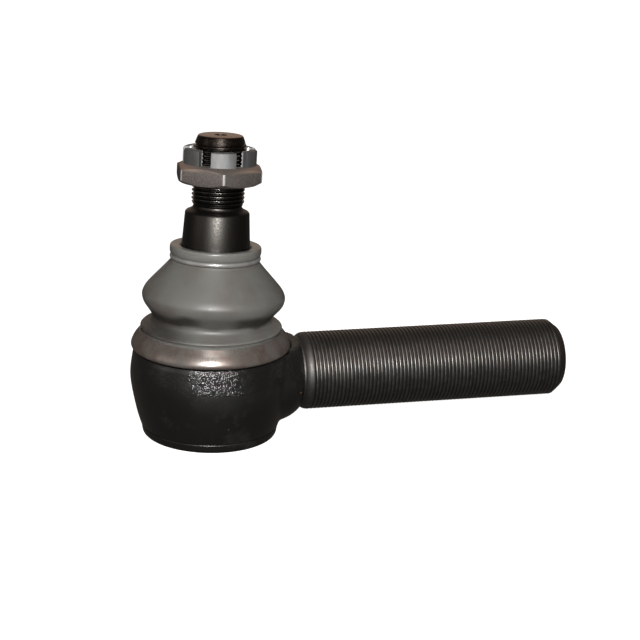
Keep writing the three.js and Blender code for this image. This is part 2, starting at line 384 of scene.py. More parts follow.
class Paint:
    """Builds one material's nodes."""

    def __init__(self, name: str) -> None:
        """Starts a material with a Principled shader.

        Args:
            name: The material's name.
        """
        self.material = bpy.data.materials.new(name)
        self.material.use_nodes = True
        self.tree = self.material.node_tree
        self.shader = self.tree.nodes["Principled BSDF"]
        self.place = self.node("TexCoord", {}, {}).outputs["Object"]

    def node(
        self, kind: str, settings: dict[str, object], sockets: dict[int | str, object]
    ) -> bpy.types.Node:
        """Adds one node.

        Args:
            kind: The node's type, without its ShaderNode prefix.
            settings: The node's own settings, set first.
            sockets: Values or links of its input sockets.

        Returns:
            The node.
        """
        made = self.tree.nodes.new("ShaderNode" + kind)
        for key, value in settings.items():
            setattr(made, key, value)
        for key, value in sockets.items():
            self.feed(made.inputs[key], value)
        return made

    def feed(self, socket: bpy.types.NodeSocket, value: object) -> None:
        """Links or sets one input socket.

        Args:
            socket: The input.
            value: A wire, an output socket or a plain value.
        """
        source = value.socket if isinstance(value, Wire) else value
        if isinstance(source, bpy.types.NodeSocket):
            self.tree.links.new(source, socket)
        else:
            socket.default_value = source

    def speckle(
        self, scale: float, detail: float = 2, rough: float = 0.5, stretch: Vector | None = None
    ) -> Wire:
        """Noise over the piece.

        Args:
            scale: Grains per metre.
            detail: Octaves of the noise.
            rough: How strong the finer octaves are.
            stretch: Scale of each axis before the noise, or None.

        Returns:
            A number around 0.5.
        """
        where = self.place
        if stretch is not None:
            where = self.node("Mapping", {}, {"Vector": where, "Scale": stretch}).outputs[0]
        made = self.node(
            "TexNoise", {}, {"Vector": where, "Scale": scale, "Detail": detail, "Roughness": rough}
        )
        return Wire(self, made.outputs[0])

    def along(self, axis: Vector, start: Vector) -> Wire:
        """Distance along an axis.

        Args:
            axis: The axis, of length 1.
            start: Where the distance is 0, in mm.

        Returns:
            The distance in mm.
        """
        shifted = self.node("VectorMath", {"operation": "SUBTRACT"}, {0: self.place, 1: start * MM})
        made = self.node(
            "VectorMath", {"operation": "DOT_PRODUCT"}, {0: shifted.outputs[0], 1: axis / MM}
        )
        return Wire(self, made.outputs["Value"])

    def around(self, axis: Vector, start: Vector) -> Wire:
        """Distance out from an axis.

        Args:
            axis: The axis, of length 1.
            start: A point on it, in mm.

        Returns:
            The distance in mm.
        """
        shifted = self.node("VectorMath", {"operation": "SUBTRACT"}, {0: self.place, 1: start * MM})
        crossed = self.node(
            "VectorMath", {"operation": "CROSS_PRODUCT"}, {0: shifted.outputs[0], 1: axis / MM}
        )
        made = self.node("VectorMath", {"operation": "LENGTH"}, {0: crossed.outputs[0]})
        return Wire(self, made.outputs["Value"])

    def ramp(self, value: Wire, low: float, high: float, first: float = 0, last: float = 1) -> Wire:
        """A smooth change from one number to another as a value crosses a range."""
        made = self.node(
            "MapRange",
            {"interpolation_type": "SMOOTHSTEP"},
            {0: value, 1: low, 2: high, 3: first, 4: last},
        )
        return Wire(self, made.outputs[0])

    def between(self, value: Wire, rise: Range, fall: Range) -> Wire:
        """1 between two edges and 0 outside, with a smooth change over each of them."""
        return self.ramp(value, *rise) * self.ramp(value, *fall, 1, 0)

    def maximum(self, first: Wire, second: Wire) -> Wire:
        """The larger of two numbers."""
        return first.maths("MAXIMUM", first, second)

    def mix(self, share: Wire | float, first: object, second: object) -> bpy.types.NodeSocket:
        """A colour between two colours, each a colour or a socket."""
        made = self.node("Mix", {"data_type": "RGBA"}, {0: share, 6: first, 7: second})
        return made.outputs[2]

    def bump(self, height: Wire, distance: float) -> bpy.types.NodeSocket:
        """A bumped normal, for a height between 0 and 1 and a full distance in mm."""
        made = self.node(
            "Bump", {}, {"Strength": 1.0, "Distance": distance * MM, "Height": height}
        )
        return made.outputs[0]

    def finish(self, **sockets: object) -> bpy.types.Material:
        """Sets the shader's sockets, named with underscores for spaces, and returns the material."""
        for key, value in sockets.items():
            self.feed(self.shader.inputs[key.replace("_", " ")], value)
        return self.material


def grey(value: float, warm: float = 0.0) -> Colour:
    """A grey, turned towards brown by a share."""
    return (value * (1 + warm), value, value * (1 - warm), 1.0)


# ---------------------------------------------------------------- finishes

# FRONT points to the side of the eye that faces the key light, and ACROSS along that side.
UP = Vector((0, 0, 1))
OUT = Vector((1, 0, 0))
PIN_AXIS = lean_matrix().to_3x3() @ UP
FRONT = Vector((-0.22, -0.976, 0))
ACROSS = Vector((0.976, -0.22, 0))
ORIGIN = Vector((0, 0, 0))


@dataclass(frozen=True)
class ForgedSkin:
    """Black forged skin of the eye, coarse just under the boot's ring and smoother below, with a
    painted sheen below that band on the side that faces the key light.
    """

    name: str = "forged_skin"
    dark: Colour = (0.0022, 0.0023, 0.0022, 1)
    dust: Colour = (0.0085, 0.0076, 0.0068, 1)
    # Colour of the painted sheen.
    grey: Colour = (0.0075, 0.0078, 0.0076, 1)
    rust: Colour = (0.120, 0.055, 0.035, 1)
    coarse_from: float = 24.0
    land_from: float = 34.3
    neck_end: Range = (28.5, 30.5)
    # Edges of the front that faces the key light, measured across that side in mm.
    lit_front_left: Range = (-8, -4)
    lit_front_right: Range = (8, 15)

    def material(self) -> bpy.types.Material:
        """Builds the material.

        Returns:
            The material, ready for a piece.
        """
        paint = Paint(self.name)
        height = paint.along(UP, ORIGIN)
        wander = paint.speckle(60, 3)
        grain = paint.speckle(1150, 2, 0.6)
        scale_pits = paint.speckle(760, 2, 0.6)
        ragged = paint.speckle(280, 3, 0.65)
        side = paint.along(ACROSS, ORIGIN) + ragged * 16 - 8
        lit_front = paint.ramp(side, *self.lit_front_left) * paint.ramp(side, *self.lit_front_right, 1, 0.35)
        lit_front = lit_front * 0.95 + 0.05
        band = paint.ramp(height + wander * 2 - 1, self.coarse_from, self.coarse_from + 1.0)
        neck_end = paint.ramp(paint.along(OUT, ORIGIN), *self.neck_end)
        coarse = paint.maximum(band * lit_front, neck_end * 0.75)
        # Painted sheen: a lighter grey below the coarse band on the side that faces the key light.
        sheen = paint.ramp(height, self.coarse_from - 9, self.coarse_from - 2) * lit_front
        patches = paint.ramp(paint.speckle(110, 4, 0.65), 0.5, 0.72)
        relief = (grain - 0.5) * (0.10 + coarse * 0.9) + (scale_pits - 0.5) * coarse + 0.5
        specks = paint.ramp(paint.speckle(420, 1, 0.5), 0.785, 0.82)
        land = paint.ramp(height, self.land_from, self.land_from + 0.3)
        skin = paint.mix(patches, self.dark, self.dust)
        skin = paint.mix(sheen * 0.7, skin, self.grey)
        return paint.finish(
            Base_Color=paint.mix(specks * 0.8, skin, self.rust),
            Roughness=paint.ramp(coarse + wander * 0.3, 0, 1.2, 0.36, 0.16) + land * 0.35,
            Metallic=0.0,
            IOR=1.55,
            Normal=paint.bump(relief, 0.46),
        )


@dataclass(frozen=True)
class CutThread:
    """Gunmetal of the rolled shank thread, with a painted warm reflection over its upper side."""

    name: str = "cut_thread"
    steel: Colour = (0.052, 0.052, 0.051, 1)
    # Colour of the painted warm reflection.
    warm_reflection: Colour = (0.105, 0.083, 0.072, 1)
    worn: Colour = (0.102, 0.101, 0.098, 1)
    warm_reflection_over: Range = (-1, 9)
    worn_crest: Range = (14.3, 14.8)
    plain_to: float = 37.4

    def material(self) -> bpy.types.Material:
        """Builds the material.

        Returns:
            The material, ready for a piece.
        """
        paint = Paint(self.name)
        height = paint.along(UP, UP * SHANK_HEIGHT)
        blotch = paint.speckle(140, 4, 0.6)
        fine = paint.speckle(1500, 2, 0.6)
        # Painted reflection: warm brown over the upper side, standing for the warm room mirrored
        # there.
        browned = paint.ramp(height + blotch * 8 - 4, *self.warm_reflection_over) * 0.8
        crest = paint.ramp(paint.around(OUT, UP * SHANK_HEIGHT), *self.worn_crest)
        chipped = paint.ramp(paint.speckle(420, 3, 0.7), 0.30, 0.62)
        plain = paint.ramp(paint.along(OUT, ORIGIN), self.plain_to, self.plain_to + 0.5, 1, 0)
        skin = paint.mix(browned * (1 - plain * 0.7), self.steel, self.warm_reflection)
        crest = crest * (1 - plain * 0.8)
        return paint.finish(
            Base_Color=paint.mix(crest * (0.35 + chipped * 0.65), skin, self.worn),
            Roughness=paint.ramp(fine + blotch * 0.4, 0.4, 1.0, 0.30, 0.48) + plain * 0.14,
            Metallic=0.95,
            Normal=paint.bump(fine, 0.012),
        )


@dataclass(frozen=True)
class TurnedSteel:
    """Dark turned steel of the ball pin, browned at its top face and towards its edges."""

    top: float
    thread_from: float
    thread_to: float
    name: str = "turned_steel"
    steel: Colour = (0.037, 0.037, 0.036, 1)
    soot: Colour = (0.031, 0.026, 0.022, 1)
    rust: Colour = (0.130, 0.078, 0.055, 1)
    worn: Colour = (0.085, 0.082, 0.078, 1)
    worn_crest: Range = (9.4, 9.85)

    def material(self) -> bpy.types.Material:
        """Builds the material.

        Returns:
            The material, ready for a piece.
        """
        paint = Paint(self.name)
        height = paint.along(PIN_AXIS, BALL_CENTRE)
        mottle = paint.speckle(1500, 3, 0.6)
        rings = paint.speckle(900, 1, 0.4, Vector((0.04, 0.04, 1)))
        sooty = paint.ramp(mottle, 0.30, 0.72) * 0.8
        crest = paint.ramp(paint.around(PIN_AXIS, BALL_CENTRE), *self.worn_crest)
        threaded = paint.ramp(height, self.thread_from - 0.2, self.thread_from + 0.2)
        cone = paint.ramp(height, self.thread_to, self.thread_to + 0.3)
        crest = crest * threaded * (1 - cone)
        body = paint.mix(crest, paint.mix(sooty, self.steel, self.soot), self.worn)
        face = paint.ramp(height, self.top - 0.25, self.top - 0.02)
        return paint.finish(
            Base_Color=paint.mix(paint.maximum(face * 0.9, cone * sooty * 0.3), body, self.rust),
            Roughness=paint.ramp(mottle, 0.3, 0.7, 0.36, 0.48) - threaded * 0.14,
            Metallic=1.0 - face * 0.6,
            Normal=paint.bump(rings * 0.5 + mottle, 0.018),
        )


@dataclass(frozen=True)
class NutSteel:
    """Phosphated hexagon below a bright machined crown, with a painted warm reflection on the
    chamfer's sides and painted highlights on the hexagon's corners.
    """

    crown_from: float
    name: str = "nut_steel"
    phosphate: Colour = (0.105, 0.092, 0.085, 1)
    soot: Colour = (0.052, 0.044, 0.041, 1)
    bright: Colour = (0.104, 0.108, 0.112, 1)
    # Colour of the painted highlight on the hexagon's corners.
    painted_corner_highlight: Colour = (0.420, 0.420, 0.420, 1)
    # Colour of the painted warm reflection on the chamfer.
    warm: Colour = (0.210, 0.150, 0.118, 1)
    tapped: Range = (11.5, 11.0)
    corner_highlight_radius: Range = (16.98, 17.22)

    def material(self) -> bpy.types.Material:
        """Builds the material.

        Returns:
            The material, ready for a piece.
        """
        paint = Paint(self.name)
        height = paint.along(PIN_AXIS, BALL_CENTRE)
        grain = paint.speckle(3000, 2, 0.6)
        streak = paint.speckle(420, 3, 0.6, Vector((1, 1, 0.25)))
        crown = paint.ramp(height, self.crown_from - 0.12, self.crown_from + 0.12)
        aside = paint.around(FRONT, BALL_CENTRE + PIN_AXIS * self.crown_from)
        # Painted reflection: a warm tint on the top chamfer, kept to the sides away from the front.
        chamfer = paint.ramp(height, self.crown_from - 2.2, self.crown_from - 1.3) * (1 - crown)
        chamfer = chamfer * paint.ramp(aside, 5, 12, 0.2, 1)
        skin = paint.mix(paint.ramp(grain, 0.35, 0.65), self.phosphate, self.soot)
        hexagon = paint.mix(chamfer * 0.75, skin, self.warm)
        machined = paint.mix(paint.ramp(streak, 0.35, 0.7), self.bright, grey(0.085, 0.03))
        radius = paint.around(PIN_AXIS, BALL_CENTRE)
        machined = paint.mix(paint.ramp(radius, *self.tapped), machined, grey(0.7))
        # Painted highlight: the hexagon's corners are lightened where light catches their edges.
        painted_corner_highlight = paint.ramp(radius, *self.corner_highlight_radius) * paint.ramp(grain, 0.25, 0.55)
        hexagon = paint.mix(painted_corner_highlight * 0.8, hexagon, self.painted_corner_highlight)
        return paint.finish(
            Base_Color=paint.mix(crown, hexagon, machined),
            Roughness=paint.ramp(crown + streak * 0.25 + painted_corner_highlight * 0.7, 0, 1.2, 0.54, 0.60),
            Metallic=paint.ramp(crown, 0, 1, 0.55, 0.8),
            Normal=paint.bump(grain * (1 - crown * 0.85), 0.09),
        )


@dataclass(frozen=True)
class BootRubber:
    """Milky grey moulded boot with a satin gloss and faint dust, and painted shade under its bulge
    and on its lower left.
    """

    name: str = "boot_rubber"
    milky: Colour = (0.083, 0.084, 0.078, 1)
    deep: Colour = (0.066, 0.059, 0.055, 1)
    # Colour of the painted shade.
    shade: Colour = (0.012, 0.0115, 0.010, 1)
    lip: Colour = (0.104, 0.104, 0.097, 1)
    lip_from: Range = (41.6, 43.6)
    waist_shade_bottom: Range = (19.6, 21.2)
    waist_shade_top: Range = (23.0, 25.6)
    shade_bottom: Range = (14, 16)
    shade_top: Range = (21, 24)
    shade_side: Range = (-5, -17)
    lit_middle_left: Range = (-8, -2)
    lit_middle_right: Range = (6, 12)

    def material(self) -> bpy.types.Material:
        """Builds the material.

        Returns:
            The material, ready for a piece.
        """
        paint = Paint(self.name)
        height = paint.along(PIN_AXIS, BALL_CENTRE)
        cloud = paint.speckle(75, 4, 0.55)
        dust = paint.speckle(1600, 2, 0.6)
        wall = paint.mix(paint.ramp(cloud, 0.35, 0.7), self.milky, self.deep)
        band = paint.ramp(height, *self.lip_from)
        # Painted shade: a dark band under the bulge.
        waist_shade = paint.between(height + cloud * 5 - 2.5, self.waist_shade_bottom, self.waist_shade_top)
        side = paint.along(ACROSS, ORIGIN) + cloud * 6 - 3
        # Painted shade on the lower left of the boot.
        left = paint.between(height, self.shade_bottom, self.shade_top)
        left = left * paint.ramp(side, *self.shade_side)
        # The painted shade under the bulge is lighter in the middle, which faces the key light.
        middle = paint.between(side, self.lit_middle_left, self.lit_middle_right)
        waist_shade = waist_shade * (0.9 - middle * 0.5)
        wall = paint.mix(paint.maximum(waist_shade, left * 0.75), wall, self.shade)
        return paint.finish(
            Base_Color=paint.mix(band * 0.8, wall, self.lip),
            Roughness=paint.ramp(dust + cloud * 0.6 - band * 0.4, 0.2, 1.1, 0.28, 0.52),
            Subsurface_Weight=0.25,
            Subsurface_Scale=0.004,
            Subsurface_Radius=(1.0, 0.9, 0.75),
            IOR=1.45,
            Normal=paint.bump(dust * 0.4 + cloud, 0.02),
        )


@dataclass(frozen=True)
class PressedSteel:
    """Satin pressed sheet with soft brown mottling."""

    name: str = "pressed_steel"
    sheet: Colour = (0.172, 0.157, 0.146, 1)
    stain: Colour = (0.108, 0.078, 0.066, 1)
    polish: float = 0.26
    dull: float = 0.40
    metal: float = 0.70

    def material(self) -> bpy.types.Material:
        """Builds the material.

        Returns:
            The material, ready for a piece.
        """
        paint = Paint(self.name)
        mottle = paint.speckle(190, 4, 0.62)
        grain = paint.speckle(1500, 2, 0.5)
        stained = paint.ramp(mottle, 0.30, 0.80)
        return paint.finish(
            Base_Color=paint.mix(stained, self.sheet, self.stain),
            Roughness=paint.ramp(mottle + grain * 0.3, 0.4, 0.95, self.polish, self.dull),
            Metallic=self.metal,
            Normal=paint.bump(mottle * 0.7 + grain * 0.3, 0.03),
        )


@dataclass(frozen=True)
class PlainStock:
    """Finish of an inner piece: one colour with a little cloudiness and a fine grain."""

    name: str
    light: Colour
    dark: Colour
    metal: float = 0.0
    roughness: float = 0.4

    def material(self) -> bpy.types.Material:
        """Builds the material.

        Returns:
            The material, ready for a piece.
        """
        paint = Paint(self.name)
        cloud = paint.speckle(150, 3, 0.6)
        grain = paint.speckle(1200, 2, 0.5)
        return paint.finish(
            Base_Color=paint.mix(paint.ramp(cloud, 0.3, 0.7), self.light, self.dark),
            Roughness=paint.ramp(grain, 0.2, 0.8, self.roughness - 0.06, self.roughness + 0.08),
            Metallic=self.metal,
            Normal=paint.bump(grain, 0.01),
        )


# ---------------------------------------------------------------- pieces


def dress(
    piece: bpy.types.Object, material: bpy.types.Material, slot: str, body: Body | None, *nodes: str
) -> bpy.types.Object:
    """Gives a finished mesh its material and body, and hides the frame nodes it stands for.

    Args:
        piece: The object.
        material: Its finish.
        slot: Not used.
        body: The body it rides on, or None to leave it on none.
        *nodes: The frame nodes that it stands for.

    Returns:
        The piece.
    """
    piece.data.materials.clear()
    piece.data.materials.append(material)
    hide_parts(*nodes)
    if body is not None:
        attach(piece, body.value)
    LOG.info("%s: %d faces", piece.name, len(piece.data.polygons))
    return piece


@dataclass(frozen=True)
class Thread:
    """A right-hand metric thread, cut from a helix that is longer than the rod.

    The rounding of its crest is a list of drops below the crest and distances out from its middle.
    """

    crest: float
    pitch: float = 1.5
    depth: float = 0.88
    land: float = 0.0
    steps: int = 64
    run_in: float = 2.3
    spare_turns: int = 4
    rounding: tuple[Point, ...] = ((0.17, 0.27), (0.05, 0.16), (0.0, 0.04))

    def rod(self, name: str, start: float, end: float) -> bpy.types.Object:
        """A threaded rod about +Z with flat ends.

        Args:
            name: Name of the new object.
            start: Height of its lower end, in mm.
            end: Height of its upper end, in mm.

        Returns:
            The closed rod.
        """
        root = self.crest - self.depth
        flat = self.pitch / 12
        middle = self.pitch / 2
        base = start - self.run_in * self.pitch
        outline = [
            (root, 0),
            (root, flat),
            *[(self.crest - drop, middle - self.land - out) for drop, out in self.rounding],
            *[(self.crest - drop, middle + self.land + out) for drop, out in self.rounding[::-1]],
            (root, self.pitch - flat),
            (root, self.pitch),
        ]
        piece = trace(name, raised(outline, base), False)
        finish_with(
            piece,
            "SCREW",
            axis="Z",
            angle=math.tau,
            screw_offset=self.pitch * MM,
            iterations=math.ceil((end - start) / self.pitch) + self.spare_turns,
            steps=self.steps,
            render_steps=self.steps,
            use_merge_vertices=False,
            use_smooth_shade=False,
        )
        mend(piece)
        bpy.ops.object.mode_set(mode="EDIT")
        for height, side in ((start, {"clear_inner": True}), (end, {"clear_outer": True})):
            bpy.ops.mesh.select_all(action="SELECT")
            bpy.ops.mesh.bisect(
                plane_co=(0, 0, height * MM),
                plane_no=(0, 0, 1),
                use_fill=True,
                threshold=MERGE,
                **side,
            )
        bpy.ops.object.mode_set(mode="OBJECT")
        mend(piece)
        return piece


@dataclass(frozen=True)
class Housing:
    """Forged eye with its neck, and the threaded shank.

    Outlines are pairs of a radius and a height, and the neck's heights run along the shank.
    """

    rim_radius: float = 25.8
    rim_round: float = 1.8
    barrel: tuple[Point, ...] = ((26.1, 3.4), (28, 9.5), (30, 19), (30.45, 25), (29.5, 32.2))
    rim_inner: float = 21.6
    rim_thickness: float = 2.0
    shoulder_radius: float = 29.4
    shoulder_height: float = 33.9
    spigot_radius: float = 24.2
    spigot_top: float = 38.0
    seat_radius: float = 24.0
    seat_top: float = 8.2
    bore_radius: float = 21.3
    bore_top: float = 30.9
    mouth_height: float = 34.0
    mouth_radius: float = 14.9
    mouth_top_radius: float = 16.6
    neck_start: float = 14.0
    swell: tuple[Point, ...] = (
        (19.6, 20),
        (18.8, 25),
        (17.7, 28.6),
        (16.6, 30.8),
        (15.3, 32.6),
        (13.9, 33.9),
    )
    thread_radius: float = 14.9
    thread_depth: float = 0.6
    thread_land: float = 0.2
    thread_start: float = 37.1
    groove_at: float = 34.2
    shank_end: float = 139.8
    chamfer_start: float = 136.6
    end_radius: float = 12.4
    centre_radius: float = 2.4
    land_above_axis: float = 13.2
    facing_radius: float = 30.7
    facing_depth: float = 0.35
    skin_voxel: float = 0.55
    fillet_inner: float = 19.0
    fillet_outer: float = 22.0

    def along_x(self) -> Matrix:
        """Turns a body built about +Z onto the shank's axis."""
        turn = Matrix.Rotation(math.pi / 2, 4, "Y")
        return Matrix.Translation((0, 0, SHANK_HEIGHT * MM)) @ turn

    def forging(self) -> bpy.types.Object:
        """The eye's solid outside with its neck, blended by a fine remesh.

        Returns:
            The forging, closed and without its bore.
        """
        rim = self.rim_radius - self.rim_round
        eye = turned(
            "housing_eye",
            [
                (0, 0),
                (rim, 0),
                *arc((rim, self.rim_round), self.rim_round, -72, 0, 5),
                *curve(list(self.barrel), 30),
                (self.shoulder_radius - 0.6, self.shoulder_height),
                (0, self.shoulder_height),
            ],
        )
        pattern = eye.copy()
        pattern.data = eye.data.copy()
        bpy.context.scene.collection.objects.link(pattern)
        (widest, _), (_, neck_end) = self.swell[0], self.swell[-1]
        root = [(0, self.neck_start), (widest, self.neck_start)]
        neck = turned("neck", [*root, *curve(list(self.swell), 20), (0, neck_end)])
        settle(neck, self.along_x())
        # The block that cuts the flat land reaches past the neck on every other side.
        land = SHANK_HEIGHT + self.land_above_axis
        shape_with(neck, block("land", (8, -30, land), (40, 30, land + 10)), Cut.AWAY)
        shape_with(eye, neck, Cut.JOIN)
        finish_with(eye, "REMESH", mode="VOXEL", voxel_size=self.skin_voxel * MM, adaptivity=0)
        finish_with(eye, "SMOOTH", factor=0.5, iterations=9)
        self.true_up(eye, pattern)
        return eye

    def true_up(self, eye: bpy.types.Object, pattern: bpy.types.Object) -> None:
        """Draws the barrel's skin back onto its turned shape, away from the neck's fillet.

        Args:
            eye: The remeshed forging.
            pattern: The turned barrel, which is used up.
        """
        group = eye.vertex_groups.new(name="barrel")
        for vertex in eye.data.vertices:
            x, y, z = vertex.co / MM
            off_neck = math.hypot(y, z - SHANK_HEIGHT) if x > 0 else self.fillet_outer
            share = (off_neck - self.fillet_inner) / (self.fillet_outer - self.fillet_inner)
            group.add([vertex.index], min(max(share, 0.0), 1.0), "REPLACE")
        finish_with(
            eye,
            "SHRINKWRAP",
            target=pattern,
            wrap_method="NEAREST_SURFACEPOINT",
            vertex_group=group.name,
        )
        bpy.data.objects.remove(pattern)

    def bore(self) -> bpy.types.Object:
        """The tool that opens the eye from below and at its mouth.

        Returns:
            The tool, longer than the eye at both ends.
        """
        slope = (self.mouth_top_radius - self.mouth_radius) / (self.spigot_top - self.mouth_height)
        return turned(
            "bore",
            [
                (0, -1),
                (self.rim_inner, -1),
                (self.rim_inner, self.rim_thickness),
                (self.seat_radius, self.rim_thickness),
                (self.seat_radius, self.seat_top),
                (self.bore_radius, self.seat_top),
                (self.bore_radius, self.bore_top),
                (self.mouth_radius + 2.5, self.mouth_height),
                (self.mouth_radius, self.mouth_height),
                (self.mouth_top_radius + slope, self.spigot_top + 1),
                (0, self.spigot_top + 1),
            ],
        )

    def eye(self) -> bpy.types.Object:
        """The forged eye, faced, bored and with its spigot for the boot.

        Returns:
            The eye with its neck.
        """
        piece = self.forging()
        faced = self.shoulder_height - self.facing_depth
        side = [(self.facing_radius, faced), (self.facing_radius, 45)]
        shape_with(piece, turned("face", [(0, faced), *side, (0, 45)]), Cut.AWAY)
        spigot = turned(
            "spigot",
            [
                (0, self.shoulder_height - 2),
                (self.spigot_radius, self.shoulder_height - 2),
                (self.spigot_radius, self.spigot_top - 0.5),
                (self.spigot_radius - 0.5, self.spigot_top),
                (0, self.spigot_top),
            ],
        )
        shape_with(piece, spigot, Cut.JOIN)
        shape_with(piece, self.bore(), Cut.AWAY)
        lip = arc((25.75, 3.3), 0.35, 90, 0, 4)
        step = turned("step", [(27.5, 2.9), (27.5, 4.5), (26.7, 4.4), *lip, (26.15, 2.9)], True)
        shape_with(piece, step, Cut.AWAY)
        return piece

    def shank(self) -> bpy.types.Object:
        """The shank with its groove, plain collar, thread, end chamfer and centre hole.

        Returns:
            The shank, along +X.
        """
        crest = self.thread_radius
        thread = Thread(crest, depth=self.thread_depth, land=self.thread_land)
        piece = thread.rod("housing_shank", self.thread_start, self.shank_end + 1)
        limits = turned(
            "limits",
            [
                (0, self.thread_start - 5),
                (crest + 1, self.thread_start - 5),
                (crest + 1, self.chamfer_start - 1),
                (crest, self.chamfer_start),
                (self.end_radius, self.shank_end),
                (self.centre_radius, self.shank_end),
                (self.centre_radius, self.shank_end - 4),
                (0, self.shank_end - 6),
            ],
        )
        shape_with(piece, limits, Cut.COMMON)
        swell = [(14.0, self.groove_at + 0.6), (14.4, 35.4), (14.7, 36.1), (14.84, 36.9)]
        collar = turned(
            "collar",
            [
                (0, self.groove_at - 3),
                (13.0, self.groove_at - 3),
                (13.3, self.groove_at - 0.25),
                (13.45, self.groove_at + 0.15),
                *curve(swell, 12),
                (14.86, self.thread_start + 0.3),
                (crest - 0.9, self.thread_start + 1.0),
                (0, self.thread_start + 1.0),
            ],
        )
        shape_with(piece, collar, Cut.JOIN)
        return settle(piece, self.along_x())

    def build(self) -> None:
        """Builds and dresses the eye and the shank."""
        eye = self.eye()
        smooth_shade(eye, 38)
        dress(eye, ForgedSkin().material(), "forged_steel", Body.EYE, "housing")
        shank = self.shank()
        smooth_shade(shank, 25)
        dress(shank, CutThread().material(), "forged_steel", Body.EYE, "housing")


@dataclass(frozen=True)
class Bearing:
    """Cover, seal, spring, plate and the two bearing halves inside the eye."""

    gap: float = 0.3
    cover_radius: float = 23.7
    cover_bottom: float = 2.3
    cover_thickness: float = 4.0
    boss_radius: float = 12.0
    seal_inner: float = 21.9
    seal_top: float = 7.9
    spring_inner: float = 9.5
    spring_outer: float = 20.0
    spring_bottom: float = 6.6
    spring_top: float = 8.5
    spring_sheet: float = 0.66
    spring_face: float = 0.6
    plate_bottom: float = 8.8
    plate_top: float = 10.3
    plate_inner: float = 7.5
    plate_outer: float = 20.6
    socket: float = 16.8
    shell_outer: float = 21.0
    cup_top: float = -0.8
    shell_top: float = 7.996
    shell_top_radius: float = 17.1
    bearing_float: float = 0.6

    def cover(self) -> bpy.types.Object:
        """Pressed cover with a flat boss and a shallow rolled ring round it.

        Returns:
            The cover.
        """
        low = self.cover_bottom
        top = low + self.cover_thickness
        piece = turned(
            "cover",
            [
                (0, 0.35),
                (4.5, 0.35),
                (5.2, 0),
                (self.boss_radius, 0),
                (self.boss_radius + 2, low),
                (16.6, low),
                (17.2, low + 0.35),
                (18.8, low + 0.35),
                (19.4, low),
                (self.cover_radius, low),
                (self.cover_radius, top),
                (0, top),
            ],
        )
        soften_edges(piece, 0.25, 24)
        return piece

    def seal(self) -> bpy.types.Object:
        """Square seal between the cover and the step in the bore.

        Returns:
            The seal.
        """
        low = self.cover_bottom + self.cover_thickness + self.gap
        corners = [
            (self.seal_inner, low),
            (self.cover_radius, low),
            (self.cover_radius, self.seal_top),
            (self.seal_inner, self.seal_top),
        ]
        piece = turned("seal", corners, True)
        soften_edges(piece, 0.2)
        return piece

    def spring(self) -> bpy.types.Object:
        """Coned disc spring that pushes the bearing up.

        Returns:
            The spring.
        """
        outline = [
            (self.spring_outer - self.spring_face, self.spring_bottom),
            (self.spring_outer, self.spring_bottom + self.spring_sheet),
            (self.spring_inner, self.spring_top),
            (self.spring_inner - self.spring_face, self.spring_top - self.spring_sheet),
        ]
        return turned("spring", outline, True)

    def plate(self) -> bpy.types.Object:
        """Washer under the lower bearing.

        Returns:
            The washer.
        """
        outline = [
            (self.plate_inner, self.plate_bottom),
            (self.plate_outer, self.plate_bottom),
            (self.plate_outer, self.plate_top),
            (self.plate_inner, self.plate_top),
        ]
        piece = turned("plate", outline, True)
        soften_edges(piece, 0.2)
        return piece

    def lower_cup(self) -> bpy.types.Object:
        """Lower half of the bearing, open in the middle.

        Returns:
            The cup.
        """
        bottom = self.plate_top + self.gap - BALL_CENTRE.z
        low = math.degrees(math.asin(bottom / self.socket))
        high = math.degrees(math.asin(self.cup_top / self.socket))
        outline = [
            (self.shell_outer - 1, bottom),
            (self.shell_outer, bottom + 1),
            (self.shell_outer, self.cup_top),
            *arc((0, 0), self.socket, high, low, 18),
        ]
        return turned("lower_cup", raised(outline, BALL_CENTRE.z), True)

    def upper_shell(self) -> bpy.types.Object:
        """Upper half of the bearing, over the ball's shoulder.

        Returns:
            The shell.
        """
        high = math.degrees(math.asin(self.shell_top / self.socket))
        outline = [
            (self.socket, 0),
            (self.shell_outer, 0),
            (self.shell_outer, 5),
            (self.shell_top_radius, self.shell_top),
            *arc((0, 0), self.socket, high, 4, 12),
        ]
        return turned("upper_shell", raised(outline, BALL_CENTRE.z), True)

    def build(self) -> None:
        """Builds and dresses the inner pieces."""
        cream, straw = (0.72, 0.68, 0.56, 1), (0.6, 0.56, 0.45, 1)
        steel = PressedSteel("cover_steel", (0.32, 0.29, 0.26, 1), (0.12, 0.10, 0.09, 1)).material()
        spring_steel = PlainStock("spring_steel", grey(0.16), grey(0.07, 0.1), 1.0, 0.36).material()
        plastic = PlainStock("bearing_plastic", cream, straw, 0, 0.5).material()
        rubber = PlainStock("seal_rubber", grey(0.012), grey(0.02), 0, 0.55).material()
        pieces = [
            (self.cover(), steel, "pressed_steel", Body.EYE, "cover_plate"),
            (self.seal(), rubber, "seal_rubber", Body.EYE, "cover_seal"),
            (self.plate(), spring_steel, "spring_steel", Body.SUPPORT, "pressure_plate"),
            (self.lower_cup(), plastic, "bearing_plastic", Body.BEARING, "lower_bearing_cup"),
            (self.upper_shell(), plastic, "bearing_plastic", Body.EYE, "upper_bearing_shell"),
            (self.spring(), spring_steel, "spring_steel", Body.EYE, "preload_spring"),
        ]
        for piece, material, slot, body, node in pieces:
            smooth_shade(piece)
            dress(piece, material, slot, body, node)
        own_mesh(pieces[-1][0])


